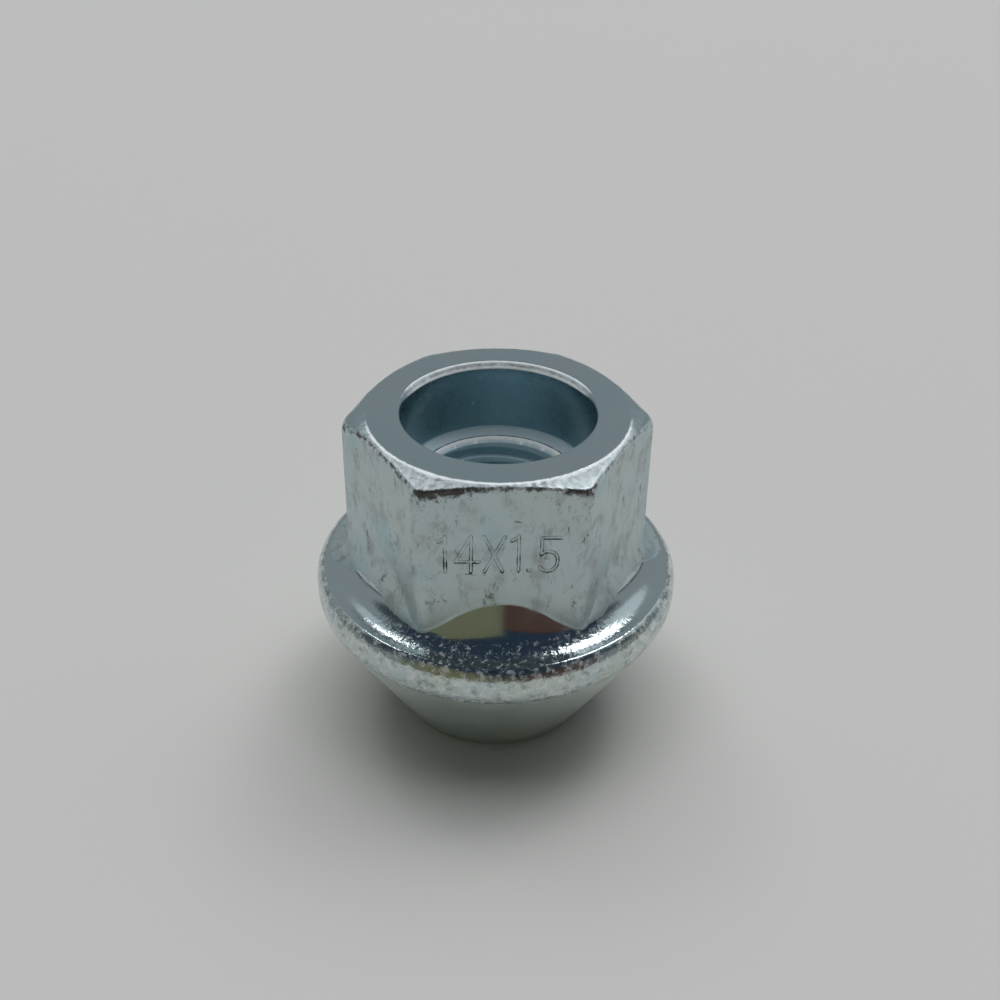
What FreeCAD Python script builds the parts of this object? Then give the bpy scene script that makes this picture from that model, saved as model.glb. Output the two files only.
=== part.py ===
"""Open-ended wheel nut: a hexagon, a round flange and a conical seat in one piece.

Lengths are in millimetres and angles in degrees. The thread axis is +Z, and the
origin is the centre of the seat's small end, which is the end the nut stands on.
The thread itself is left out, so its hole has the thread's minor diameter.
"""
import FreeCAD, Part
import Sketcher
import math
import os

# Driving dimensions, each in a cell of the spreadsheet under this name
SIZES = {
    "total_height": 28.5,
    # Hexagon for a 22 mm socket: its size at the top, and the draft that widens its root
    "across_flats": 21.7,
    "hex_draft": 0.7,
    "hex_corner_round": 1.1,
    # The turned land on top stops short of the flats, and the corners fall away from it
    "land_inset": 0.45,
    "crown_angle": 12.0,
    "top_edge_bevel": 0.25,
    # Flange: it reaches past the hexagon's sharp corners to a short upright band with a
    # rounded shoulder on it
    "flange_overhang": 2.72,
    "band_bottom_height": 12.45,
    "band_height": 0.65,
    "shoulder_round": 1.5,
    "shoulder_sweep": 60.0,
    # Hollow between the shoulder and the hexagon: a round floor and a steep flank
    "hollow_round": 2.9,
    "flank_angle": 25.0,
    "root_round": 0.4,
    # Conical seat, with a large round where it runs into the band
    "seat_angle": 60.0,
    "seat_round": 2.6,
    # Counterbore in the open end
    "counterbore_diameter": 15.5,
    "counterbore_depth": 6.3,
    "ledge_angle": 7.0,
    "mouth_width": 0.37,
    "mouth_depth": 0.48,
    # Hole for the M14 x 1.5 thread
    "thread_minor_diameter": 12.376,
    "lead_in": 1.0,
    # How far a profile runs on past a face that it has to reach
    "overrun": 1.0,
}

FULL_TURN = 360.0
HALF_TURN = 180.0
QUARTER_TURN = 90.0
HEX_SIDES = 6
HEX_TURN = FULL_TURN / HEX_SIDES

# Sketcher's own numbers for a sketch's origin and axes, and for the points of a curve
ORIGIN = (-1, 1)
X_AXIS, Y_AXIS = -1, -2
START, END, CENTRE = 1, 2, 3


def make_sheet(doc):
    """Put the driving dimensions in a spreadsheet, one named cell each."""
    sheet = doc.addObject("Spreadsheet::Sheet", "sizes")
    for row, (name, value) in enumerate(SIZES.items(), start=1):
        sheet.set(f"A{row}", name)
        sheet.set(f"B{row}", str(value))
        sheet.setAlias(f"B{row}", name)
    doc.recompute()
    return sheet


def cos(degrees):
    """Cosine of an angle in degrees."""
    return math.cos(math.radians(degrees))


def sin(degrees):
    """Sine of an angle in degrees."""
    return math.sin(math.radians(degrees))


def tan(degrees):
    """Tangent of an angle in degrees."""
    return math.tan(math.radians(degrees))


def new_sketch(body, name, role):
    """Make an empty sketch on the origin plane of the body that has this role."""
    plane = next(item for item in body.Origin.OriginFeatures if item.Role == role)
    sketch = body.newObject("Sketcher::SketchObject", name)
    sketch.AttachmentSupport = [(plane, "")]
    sketch.MapMode = "FlatFace"
    return sketch


def draw_line(sketch, start, end):
    """Draw a straight line between two points of the sketch."""
    line = Part.LineSegment(FreeCAD.Vector(*start, 0), FreeCAD.Vector(*end, 0))
    return sketch.addGeometry(line, False)


def draw_arc(sketch, centre, radius, first, last):
    """Draw an arc, anticlockwise from its first angle to its last."""
    circle = Part.Circle(FreeCAD.Vector(*centre, 0), FreeCAD.Vector(0, 0, 1), radius)
    arc = Part.ArcOfCircle(circle, math.radians(first), math.radians(last))
    return sketch.addGeometry(arc, False)


def draw_outline(sketch, points):
    """Draw a closed outline of straight lines through the points."""
    ends = points[1:] + points[:1]
    lines = [draw_line(sketch, start, end) for start, end in zip(points, ends)]
    for line, following in zip(lines, lines[1:] + lines[:1]):
        tie(sketch, "Coincident", line, END, following, START)
    return lines


def tie(sketch, kind, *places):
    """Add a constraint that has no size, such as Tangent or Coincident."""
    sketch.addConstraint(Sketcher.Constraint(kind, *places))


def hold(sketch, name, kind, places, value, formula=None):
    """Add a constraint with a size, driven by the cell of its name or by a formula."""
    index = sketch.addConstraint(Sketcher.Constraint(kind, *places, value))
    sketch.renameConstraint(index, name)
    sketch.setExpression(f"Constraints.{name}", formula or f"sizes.{name}")


def hold_reach(sketch, name, line, value, formula):
    """Fix how far from the thread axis a line starts."""
    hold(sketch, name, "DistanceX", (*ORIGIN, line, START), value, formula)


def hold_height(sketch, name, line, value, formula):
    """Fix how high a line starts."""
    hold(sketch, name, "DistanceY", (*ORIGIN, line, START), value, formula)


def turn_round(body, kind, name, sketch):
    """Add or cut a profile all the way round the thread axis."""
    feature = body.newObject(kind, name)
    feature.Profile = sketch
    feature.ReferenceAxis = (sketch, ["V_Axis"])
    feature.Angle = FULL_TURN
    return feature


def make_flange(body, size):
    """Turn the seat, band, shoulder and hollow, with a core that ends in the hexagon."""
    half_seat = size.seat_angle / 2
    band_radius = size.across_flats / 2 / cos(HEX_TURN / 2) + size.flange_overhang
    band_top = size.band_bottom_height + size.band_height
    seat_centre = (band_radius - size.seat_round, size.band_bottom_height)
    seat_end = (
        seat_centre[0] + size.seat_round * cos(half_seat),
        seat_centre[1] - size.seat_round * sin(half_seat),
    )
    base_end = (seat_end[0] - seat_end[1] * tan(half_seat), 0)
    shoulder_centre = (band_radius - size.shoulder_round, band_top)
    crest = (
        shoulder_centre[0] + size.shoulder_round * cos(size.shoulder_sweep),
        shoulder_centre[1] + size.shoulder_round * sin(size.shoulder_sweep),
    )
    hollow_centre = (crest[0], crest[1] + size.hollow_round)
    flank_end = (
        hollow_centre[0] - size.hollow_round * cos(size.flank_angle),
        hollow_centre[1] - size.hollow_round * sin(size.flank_angle),
    )
    core_radius = size.across_flats / 2 - size.overrun
    flank_rise = (flank_end[0] - core_radius) / tan(size.flank_angle)
    flank_top = (core_radius, flank_end[1] + flank_rise)

    sketch = new_sketch(body, "flange_profile", "YZ_Plane")
    base = draw_line(sketch, (0, 0), base_end)
    seat = draw_line(sketch, base_end, seat_end)
    seat_top = draw_arc(sketch, seat_centre, size.seat_round, -half_seat, 0)
    band = draw_line(sketch, (band_radius, size.band_bottom_height), (band_radius, band_top))
    shoulder = draw_arc(sketch, shoulder_centre, size.shoulder_round, 0, size.shoulder_sweep)
    hollow = draw_arc(sketch, hollow_centre, size.hollow_round,
                      HALF_TURN + size.flank_angle, HALF_TURN + QUARTER_TURN)
    flank = draw_line(sketch, flank_end, flank_top)
    lid = draw_line(sketch, flank_top, (0, flank_top[1]))
    axis = draw_line(sketch, (0, flank_top[1]), (0, 0))

    tie(sketch, "Coincident", base, START, *ORIGIN)
    tie(sketch, "Horizontal", base)
    tie(sketch, "Coincident", base, END, seat, START)
    tie(sketch, "Tangent", seat, END, seat_top, START)
    tie(sketch, "Tangent", seat_top, END, band, START)
    tie(sketch, "Vertical", band)
    tie(sketch, "Tangent", band, END, shoulder, START)
    tie(sketch, "Coincident", shoulder, END, hollow, END)
    tie(sketch, "Vertical", hollow, END, hollow, CENTRE)
    tie(sketch, "Tangent", hollow, START, flank, START)
    tie(sketch, "Coincident", flank, END, lid, START)
    tie(sketch, "Horizontal", lid)
    tie(sketch, "Coincident", lid, END, axis, START)
    tie(sketch, "Vertical", axis)
    tie(sketch, "Coincident", axis, END, base, START)

    hold(sketch, "seat_slope", "Angle", (Y_AXIS, seat), -math.radians(half_seat),
         "-sizes.seat_angle / 2")
    hold(sketch, "seat_round", "Radius", (seat_top,), size.seat_round)
    hold_reach(sketch, "band_radius", band, band_radius,
               "sizes.across_flats / 2 / cos(30deg) + sizes.flange_overhang")
    hold_height(sketch, "band_bottom", band, size.band_bottom_height,
                "sizes.band_bottom_height")
    hold(sketch, "band_height", "DistanceY", (band, START, band, END), size.band_height)
    hold(sketch, "shoulder_round", "Radius", (shoulder,), size.shoulder_round)
    hold(sketch, "shoulder_rise", "DistanceY", (shoulder, START, shoulder, END),
         crest[1] - band_top, "sizes.shoulder_round * sin(sizes.shoulder_sweep * 1deg)")
    hold(sketch, "hollow_round", "Radius", (hollow,), size.hollow_round)
    hold(sketch, "flank_slope", "Angle", (Y_AXIS, flank), math.radians(size.flank_angle),
         "sizes.flank_angle")
    hold_reach(sketch, "core_radius", lid, core_radius,
               "sizes.across_flats / 2 - sizes.overrun")
    return turn_round(body, "PartDesign::Revolution", "flange_turned", sketch)


def draw_hexagon(sketch, flat_radius, corner_round):
    """Draw a hexagon with rounded corners and a flat facing -Y.

    Returns the construction circle that touches its sides, and one of its corners.
    """
    centre_reach = (flat_radius - corner_round) / cos(HEX_TURN / 2)
    half_side = centre_reach / 2
    sides = []
    corners = []
    for step in range(HEX_SIDES):
        facing = step * HEX_TURN - QUARTER_TURN
        out = (cos(facing), sin(facing))
        along = (-sin(facing), cos(facing))
        ends = [
            (flat_radius * out[0] + half * along[0], flat_radius * out[1] + half * along[1])
            for half in (-half_side, half_side)
        ]
        sides.append(draw_line(sketch, *ends))
        turn = facing + HEX_TURN / 2
        centre = (centre_reach * cos(turn), centre_reach * sin(turn))
        corners.append(draw_arc(sketch, centre, corner_round, facing, facing + HEX_TURN))

    for side, corner, following in zip(sides, corners, sides[1:] + sides[:1]):
        tie(sketch, "Tangent", side, END, corner, START)
        tie(sketch, "Tangent", corner, END, following, START)
    for side, corner in zip(sides[1:], corners[1:]):
        tie(sketch, "Equal", sides[0], side)
        tie(sketch, "Equal", corners[0], corner)
    circle = Part.Circle(FreeCAD.Vector(0, 0, 0), FreeCAD.Vector(0, 0, 1), flat_radius)
    inner = sketch.addGeometry(circle, True)
    tie(sketch, "Coincident", inner, CENTRE, *ORIGIN)
    tie(sketch, "Horizontal", sides[0])
    for side in sides:
        tie(sketch, "Tangent", side, inner)
    return inner, corners[0]


def make_hexagon(body, size):
    """Draw the hexagon at the top and run it down into the flange, widening by its draft."""
    sketch = new_sketch(body, "hexagon_outline", "XY_Plane")
    sketch.setExpression("AttachmentOffset.Base.z", "sizes.total_height")
    flat_radius = size.across_flats / 2
    inner, corner = draw_hexagon(sketch, flat_radius, size.hex_corner_round)
    hold(sketch, "flat_radius", "Radius", (inner,), flat_radius, "sizes.across_flats / 2")
    hold(sketch, "hex_corner_round", "Radius", (corner,), size.hex_corner_round)

    prism = body.newObject("PartDesign::Pad", "hexagon_raised")
    prism.Profile = sketch
    prism.Reversed = True
    prism.setExpression("TaperAngle", "sizes.hex_draft")
    prism.setExpression(
        "Length", "sizes.total_height - sizes.band_bottom_height - sizes.band_height")
    return prism


def make_crown(body, size):
    """Let the hexagon's corners fall away from the turned land."""
    land_radius = size.across_flats / 2 - size.land_inset
    outer_radius = size.across_flats / 2 / cos(HEX_TURN / 2) + size.overrun
    fall = (outer_radius - land_radius) * tan(size.crown_angle)
    above = size.total_height + size.overrun

    sketch = new_sketch(body, "crown_profile", "YZ_Plane")
    slope, outer, cover, inner = draw_outline(sketch, [
        (land_radius, size.total_height),
        (outer_radius, size.total_height - fall),
        (outer_radius, above),
        (land_radius, above),
    ])
    tie(sketch, "Vertical", outer)
    tie(sketch, "Horizontal", cover)
    tie(sketch, "Vertical", inner)
    hold_reach(sketch, "land_radius", slope, land_radius,
               "sizes.across_flats / 2 - sizes.land_inset")
    hold_height(sketch, "land_height", slope, size.total_height, "sizes.total_height")
    hold(sketch, "crown_slope", "Angle", (X_AXIS, slope), -math.radians(size.crown_angle),
         "-sizes.crown_angle")
    hold_reach(sketch, "outer_radius", outer, outer_radius,
               "sizes.across_flats / 2 / cos(30deg) + sizes.overrun")
    hold_height(sketch, "cover_height", cover, above, "sizes.total_height + sizes.overrun")
    return turn_round(body, "PartDesign::Groove", "crown_cut", sketch)


def make_hole(body, size):
    """Cut the lead-in, thread hole, ledge, counterbore and mouth as one profile."""
    thread_radius = size.thread_minor_diameter / 2
    lead_radius = thread_radius + size.lead_in
    bore_radius = size.counterbore_diameter / 2
    mouth_radius = bore_radius + size.mouth_width
    floor = size.total_height - size.counterbore_depth
    ledge_bottom = floor - (bore_radius - thread_radius) * tan(size.ledge_angle)
    mouth_floor = size.total_height - size.mouth_depth
    above = size.total_height + size.overrun

    sketch = new_sketch(body, "hole_profile", "YZ_Plane")
    lines = draw_outline(sketch, [
        (0, -size.overrun),
        (lead_radius, -size.overrun),
        (lead_radius, 0),
        (thread_radius, size.lead_in),
        (thread_radius, ledge_bottom),
        (bore_radius, floor),
        (bore_radius, mouth_floor),
        (mouth_radius, size.total_height),
        (mouth_radius, above),
        (0, above),
    ])
    below, entry, lead_in, thread, ledge, bore, mouth, leaving, cover, axis = lines
    for level in (below, cover):
        tie(sketch, "Horizontal", level)
    for upright in (entry, thread, bore, leaving, axis):
        tie(sketch, "Vertical", upright)
    tie(sketch, "PointOnObject", below, START, Y_AXIS)
    tie(sketch, "PointOnObject", lead_in, START, X_AXIS)

    hold(sketch, "below_depth", "DistanceY", (below, START, *ORIGIN), size.overrun,
         "sizes.overrun")
    hold_reach(sketch, "lead_radius", lead_in, lead_radius,
               "sizes.thread_minor_diameter / 2 + sizes.lead_in")
    hold_reach(sketch, "thread_radius", thread, thread_radius,
               "sizes.thread_minor_diameter / 2")
    hold_height(sketch, "thread_start", thread, size.lead_in, "sizes.lead_in")
    hold(sketch, "ledge_slope", "Angle", (X_AXIS, ledge), math.radians(size.ledge_angle),
         "sizes.ledge_angle")
    hold_reach(sketch, "bore_radius", bore, bore_radius, "sizes.counterbore_diameter / 2")
    hold_height(sketch, "bore_floor", bore, floor,
                "sizes.total_height - sizes.counterbore_depth")
    hold_height(sketch, "mouth_floor", mouth, mouth_floor,
                "sizes.total_height - sizes.mouth_depth")
    hold_reach(sketch, "mouth_radius", leaving, mouth_radius,
               "sizes.counterbore_diameter / 2 + sizes.mouth_width")
    hold_height(sketch, "mouth_top", leaving, size.total_height, "sizes.total_height")
    hold_height(sketch, "cover_height", cover, above, "sizes.total_height + sizes.overrun")
    return turn_round(body, "PartDesign::Groove", "hole_cut", sketch)


def wall_end_edges(shape, halfway, at_top):
    """Name the edges that end the hexagon's walls, at their top or at their root.

    A wall is a face that crosses the height halfway up the hexagon, and an edge
    that ends one lies between a wall and a face that isn't one.
    """
    names = []
    for index, edge in enumerate(shape.Edges, start=1):
        boxes = [face.BoundBox for face in shape.ancestorsOfType(edge, Part.Face)]
        walls = sorted(box.ZMin < halfway < box.ZMax for box in boxes)
        if walls == [False, True] and (edge.BoundBox.ZMin > halfway) == at_top:
            names.append(f"Edge{index}")
    return names


def soften(body, kind, name, base, edges, cell):
    """Round or bevel some edges of a feature by the size in a cell."""
    feature = body.newObject(kind, name)
    feature.Base = (base, edges)
    target = "Radius" if kind == "PartDesign::Fillet" else "Size"
    feature.setExpression(target, f"sizes.{cell}")
    return feature


def make_nut(doc, size):
    """Build the nut as one body."""
    body = doc.addObject("PartDesign::Body", "lug_nut")
    body.Label = "lug_nut"
    halfway = (size.band_bottom_height + size.total_height) / 2

    make_flange(body, size)
    hexagon = make_hexagon(body, size)
    doc.recompute()
    root_edges = wall_end_edges(hexagon.Shape, halfway, at_top=False)
    soften(body, "PartDesign::Fillet", "root_blend", hexagon, root_edges, "root_round")

    crown = make_crown(body, size)
    doc.recompute()
    top_edges = wall_end_edges(crown.Shape, halfway, at_top=True)
    soften(body, "PartDesign::Chamfer", "top_bevel", crown, top_edges, "top_edge_bevel")

    make_hole(body, size)
    doc.recompute()
    return body


def check(doc, bodies):
    """Stop if an object failed, a cut took nothing away or a piece isn't one valid solid."""
    for item in doc.Objects:
        if "Invalid" in item.State or "Error" in item.State:
            raise ValueError(f"{item.Name} failed: {item.State}")
        if item.TypeId == "PartDesign::Groove":
            if item.Shape.Volume >= item.BaseFeature.Shape.Volume:
                raise ValueError(f"{item.Name} cuts nothing")
    for body in bodies:
        shape = body.Shape
        if shape.isNull() or not shape.isValid() or len(shape.Solids) != 1:
            raise ValueError(f"{body.Label} isn't one valid solid")


def main():
    """Build the document, check it and write each piece's STEP file."""
    doc = FreeCAD.newDocument("wheel_nut")
    bodies = [make_nut(doc, make_sheet(doc))]
    check(doc, bodies)
    os.makedirs("parts", exist_ok=True)
    for body in bodies:
        body.Shape.exportStep(f"parts/{body.Label}.step")
        print(f"{body.Label}: {body.Shape.Volume:.1f} cubic mm, {len(body.Shape.Faces)} faces")


main()
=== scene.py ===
"""Dresses the open-ended wheel nut: its visual surface, finishes, floor, light and camera.

The nut's and the camera's sizes are in millimetres and become metres where their data are
made. The floor's and the lamps' are in metres. The nut stands on the small end of its seat at
z = 0, its thread runs along +Z, and the flat with the thread size faces -Y.
"""

import logging
import math
from dataclasses import dataclass, field, replace
from enum import IntEnum
from functools import partial

import bmesh
import bpy
import numpy as np
from mathutils import Matrix, Vector


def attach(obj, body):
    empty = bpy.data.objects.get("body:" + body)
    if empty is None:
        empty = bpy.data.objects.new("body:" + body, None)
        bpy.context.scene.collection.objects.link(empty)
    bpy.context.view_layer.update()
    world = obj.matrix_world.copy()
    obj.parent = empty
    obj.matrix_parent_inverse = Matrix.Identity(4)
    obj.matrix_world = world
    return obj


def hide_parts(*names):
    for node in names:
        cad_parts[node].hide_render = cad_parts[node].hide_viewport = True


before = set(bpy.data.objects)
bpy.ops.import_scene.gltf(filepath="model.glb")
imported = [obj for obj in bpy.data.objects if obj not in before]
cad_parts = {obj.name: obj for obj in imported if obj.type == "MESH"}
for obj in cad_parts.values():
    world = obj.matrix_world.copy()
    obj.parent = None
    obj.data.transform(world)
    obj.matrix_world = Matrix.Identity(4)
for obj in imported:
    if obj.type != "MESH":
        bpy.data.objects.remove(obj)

log = logging.getLogger("lug_nut_scene")

MM = 0.001
FAR = 9.0  # millimetres, beyond the reach of every mark

Point = tuple[np.ndarray | float, np.ndarray | float]
Pair = tuple[float, float]
Lines = tuple[tuple[Pair, ...], ...]


class Zone(IntEnum):
    """The regions of the nut's skin that differ in finish; the value is the material slot."""

    LAND = 0
    SEAT = 1
    RIM = 2
    HOLLOW = 3
    FLATS = 4
    CROWN = 5
    MOUTH = 6
    BORE = 7
    LEDGE = 8
    THREAD = 9


# Tools for shapes and objects


def straight(start: Point, end: Point, rows: int) -> Point:
    """Rows of a straight line after its start: start + (end - start) * t, with t up to 1."""
    t = np.linspace(0.0, 1.0, rows + 1)[1:, None]
    return start[0] + (end[0] - start[0]) * t, start[1] + (end[1] - start[1]) * t


def eased(start: Point, corner: Point, end: Point, rows: int) -> Point:
    """Rounds a corner with (1-t)^2 * start + 2t(1-t) * corner + t^2 * end.

    Args:
        start: the point before the corner, not repeated.
        corner: the sharp corner that the curve pulls towards.
        end: the point after the corner.
        rows: how many points follow start.

    Returns:
        The radii and the heights of the curve.
    """
    t = np.linspace(0.0, 1.0, rows + 1)[1:, None]
    a, b, c = (1 - t) ** 2, 2 * t * (1 - t), t**2
    return (
        a * start[0] + b * corner[0] + c * end[0],
        a * start[1] + b * corner[1] + c * end[1],
    )


def toward(start: Point, end: Point, reach: np.ndarray | float) -> Point:
    """The point at a distance of reach from start on the way to end."""
    share = reach / np.hypot(end[0] - start[0], end[1] - start[1])
    return start[0] + (end[0] - start[0]) * share, start[1] + (end[1] - start[1]) * share


def arc(centre: Point, radius: float, first: float, last: float, rows: int) -> Point:
    """Rows of an arc after its first angle: centre + radius * (cos a, sin a), in degrees."""
    angle = np.radians(np.linspace(first, last, rows + 1)[1:, None])
    return centre[0] + radius * np.cos(angle), centre[1] + radius * np.sin(angle)


def ripple(
    places: np.ndarray, wave: float, seed: int, waves: int = 14,
    spread: Pair = (0.6, 1.7), gain: float = 2.0,
) -> np.ndarray:
    """Smooth unevenness between -1 and 1: the mean of sine waves in seeded directions.

    Args:
        places: points in millimetres, xyz in the last axis.
        wave: the mean wavelength in millimetres.
        seed: the seed of the directions and phases.
        waves: how many sine waves are added.
        spread: the least and the most waves in one wavelength.
        gain: the mean is taken times this before it is cut off at -1 and 1.

    Returns:
        One value for each point.
    """
    chance = np.random.default_rng(seed)
    course = chance.normal(size=(3, waves))
    pace = (2 * math.pi / wave) * chance.uniform(*spread, waves)
    course *= pace / np.linalg.norm(course, axis=0)
    phase = chance.uniform(0, 2 * math.pi, waves)
    return np.clip(np.sin(places @ course + phase).mean(axis=-1) * gain, -1.0, 1.0)


def bell(value: np.ndarray, middle: float, width: float) -> np.ndarray:
    """A bell curve, exp(-((value - middle) / width)^2)."""
    return np.exp(-(((value - middle) / width) ** 2))


def step(value: np.ndarray, low: float, high: float) -> np.ndarray:
    """A smooth step t^2 (3 - 2t) from 0 at low to 1 at high."""
    t = np.clip((value - low) / (high - low), 0.0, 1.0)
    return t * t * (3 - 2 * t)


def put_in_scene(name: str, data: bpy.types.ID) -> bpy.types.Object:
    """Makes an object and links it to the scene.

    Args:
        name: the object's name.
        data: its mesh, lamp or camera.

    Returns:
        The object.
    """
    made = bpy.data.objects.new(name, data)
    bpy.context.scene.collection.objects.link(made)
    return made


def around(value: np.ndarray, middle: float, turn: float) -> np.ndarray:
    """How far an angle is from the nearest of a middle's repeats, one every turn degrees."""
    return (value - middle + turn / 2) % turn - turn / 2


def nearest(x: np.ndarray, z: np.ndarray, strokes: Lines) -> np.ndarray:
    """Distance of each point from the nearest of some broken lines.

    For each straight piece it is the length from the point to its foot on the piece.

    Args:
        x: distances across the front flat.
        z: heights.
        strokes: each line's corners, x and z.

    Returns:
        The distances.
    """
    least = np.full(x.shape, FAR)
    for stroke in strokes:
        for (ax, az), (bx, bz) in zip(stroke, stroke[1:]):
            dx, dz = bx - ax, bz - az
            along = np.clip(((x - ax) * dx + (z - az) * dz) / (dx**2 + dz**2), 0.0, 1.0)
            least = np.minimum(least, np.hypot(x - ax - along * dx, z - az - along * dz))
    return least


# The nut


@dataclass(frozen=True)
class Hexagon:
    """The drafted hexagon: six flats, rounded upright corners, a low crown at the open end."""

    flat_reach: float = 10.85
    corner_centre: float = 11.258
    corner_round: float = 1.1
    draft: float = 0.7
    top: float = 28.5
    land_radius: float = 10.4
    crown: float = 12.0
    front: float = 270.0

    def wall(self, azimuth: np.ndarray, height: np.ndarray | float) -> np.ndarray:
        """Radius of the wall at an azimuth and a height.

        On a flat it is the flat's distance over the cosine of the angle from the flat's middle.
        Past the point where the flat touches the corner's circle it is the far side of that
        circle, c cos p + sqrt(rho^2 - c^2 sin^2 p), with p the angle from the corner.

        Args:
            azimuth: angles in degrees.
            height: heights above the floor.

        Returns:
            The radii.
        """
        swell = (self.top - height) * math.tan(math.radians(self.draft))
        off = around(azimuth, self.front, 60.0)
        flat = self.flat_reach + swell
        half = self.corner_centre / 2
        on_flat = np.abs(flat * np.tan(np.radians(off))) <= half
        p = np.radians(30.0 - np.abs(off))
        rho = self.corner_round + swell
        c = self.corner_centre
        bow = np.sqrt(np.maximum(rho**2 - (c * np.sin(p)) ** 2, 0.0))
        return np.where(on_flat, flat / np.cos(np.radians(off)), c * np.cos(p) + bow)

    def crown_height(self, radius: np.ndarray | float) -> np.ndarray | float:
        """Height of the crown: it falls away from the land's edge at the crown angle."""
        return self.top - (radius - self.land_radius) * math.tan(math.radians(self.crown))

    def rim(self, azimuth: np.ndarray) -> Point:
        """Where the wall meets the crown, by three steps of wall radius and crown height.

        Args:
            azimuth: angles in degrees.

        Returns:
            The radii and the heights.
        """
        height = np.full(azimuth.shape, self.top)
        for _ in range(3):
            height = self.crown_height(self.wall(azimuth, height))
        return self.wall(azimuth, height), height


@dataclass(frozen=True)
class Flange:
    """The conical seat, the round band above it and the hollow that runs up to the hexagon."""

    base_radius: float = 8.463
    base_ease: float = 0.2
    cone_angle: float = 30.0
    cone_top: Pair = (14.900, 11.150)
    round_centre: Pair = (12.6485, 12.45)
    round_radius: float = 2.6
    band_radius: float = 15.2485
    band_top: float = 13.1
    shoulder_radius: float = 1.5
    shoulder_sweep: float = 60.0
    crest: Pair = (14.4985, 14.399)
    crest_ease: float = 0.10
    hollow_radius: float = 2.9
    flank: float = 25.0
    root_near: float = 17.0
    root_ease: float = 0.17
    side_root_ease: float = 1.4
    side_from: Pair = (31.0, 44.0)
    forged_reach: tuple[Pair, ...] = (
        (176.0, 14.2), (183.0, 13.8), (189.0, 12.9), (200.0, 12.05), (210.0, 11.8), (220.0, 11.93),
        (230.0, 12.4), (239.0, 12.5), (241.0, 9.0), (299.0, 9.0), (301.0, 12.5), (308.0, 12.5),
        (318.0, 12.07), (330.0, 11.8), (346.0, 12.25), (351.0, 12.9), (357.0, 13.8), (364.0, 14.2),
    )

    @property
    def hollow_length(self) -> float:
        """Length of the hollow's arc, from the crest to the straight flank."""
        return self.hollow_radius * math.radians(90.0 - self.flank)

    def hollow(self, run: np.ndarray) -> Point:
        """The hollow's profile at a distance run along it from the crest.

        It is an arc about the point one hollow radius above the crest, level at the crest, and
        then a straight flank that stands at the flank angle from upright.

        Args:
            run: distances along the profile.

        Returns:
            The radii and the heights.
        """
        on_arc = np.minimum(run, self.hollow_length) / self.hollow_radius
        beyond = np.maximum(run - self.hollow_length, 0.0)
        lean = math.radians(self.flank)
        radius = self.crest[0] - self.hollow_radius * np.sin(on_arc) - beyond * math.sin(lean)
        height = (
            self.crest[1] + self.hollow_radius * (1 - np.cos(on_arc)) + beyond * math.cos(lean)
        )
        return radius, height

    def meets(self, hexagon: Hexagon, azimuth: np.ndarray) -> np.ndarray:
        """The run at which the hollow reaches the wall, by five steps from the height root_near.

        Each step takes the wall's radius at the last height, and turns the profile's formula
        round: an arcsine on the arc, a straight share on the flank.

        Args:
            hexagon: the wall that stands on the hollow.
            azimuth: the columns' angles in degrees.

        Returns:
            One run for each column.
        """
        height = run = np.full(azimuth.shape, self.root_near)
        flat_start = self.crest[0] - self.hollow_radius * math.cos(math.radians(self.flank))
        for _ in range(5):
            wall = hexagon.wall(azimuth, height)
            share = np.clip((self.crest[0] - wall) / self.hollow_radius, -1.0, 1.0)
            on_flank = self.hollow_length + (flat_start - wall) / math.sin(math.radians(self.flank))
            run = np.where(wall > flat_start, self.hollow_radius * np.arcsin(share), on_flank)
            height = self.hollow(run)[1]
        return run


@dataclass(frozen=True)
class Bore:
    """The chamfered mouth, the smooth counterbore and its ledge."""

    mouth_width: Pair = (0.14, 0.37)
    mouth_depth: Pair = (0.18, 0.48)
    wide_side: Pair = (0.0, 0.6)
    top: float = 28.5
    radius: float = 7.75
    ledge_top: float = 22.2
    ledge_angle: float = 7.0
    mouth_ease: float = 0.07
    ledge_ease: float = 0.22

    def mouth(self, azimuth: np.ndarray) -> tuple[Point, Point]:
        """The chamfer's outer and inner edge, scraped wider on the side away from the marking.

        Width and depth go from their first to their second value by a smooth step of the sine
        of the azimuth.

        Args:
            azimuth: the columns' angles in degrees.

        Returns:
            Radii and heights of the outer edge, and of the inner one.
        """
        far = step(np.sin(np.radians(azimuth)), *self.wide_side)
        width, depth = (
            near + (wide - near) * far for near, wide in (self.mouth_width, self.mouth_depth)
        )
        return (self.radius + width, self.top), (self.radius, self.top - depth)

    def ledge(self, radius: np.ndarray | float) -> np.ndarray | float:
        """Height of the ledge, which falls towards the thread at the ledge angle."""
        return self.ledge_top - (self.radius - radius) * math.tan(math.radians(self.ledge_angle))


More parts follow.
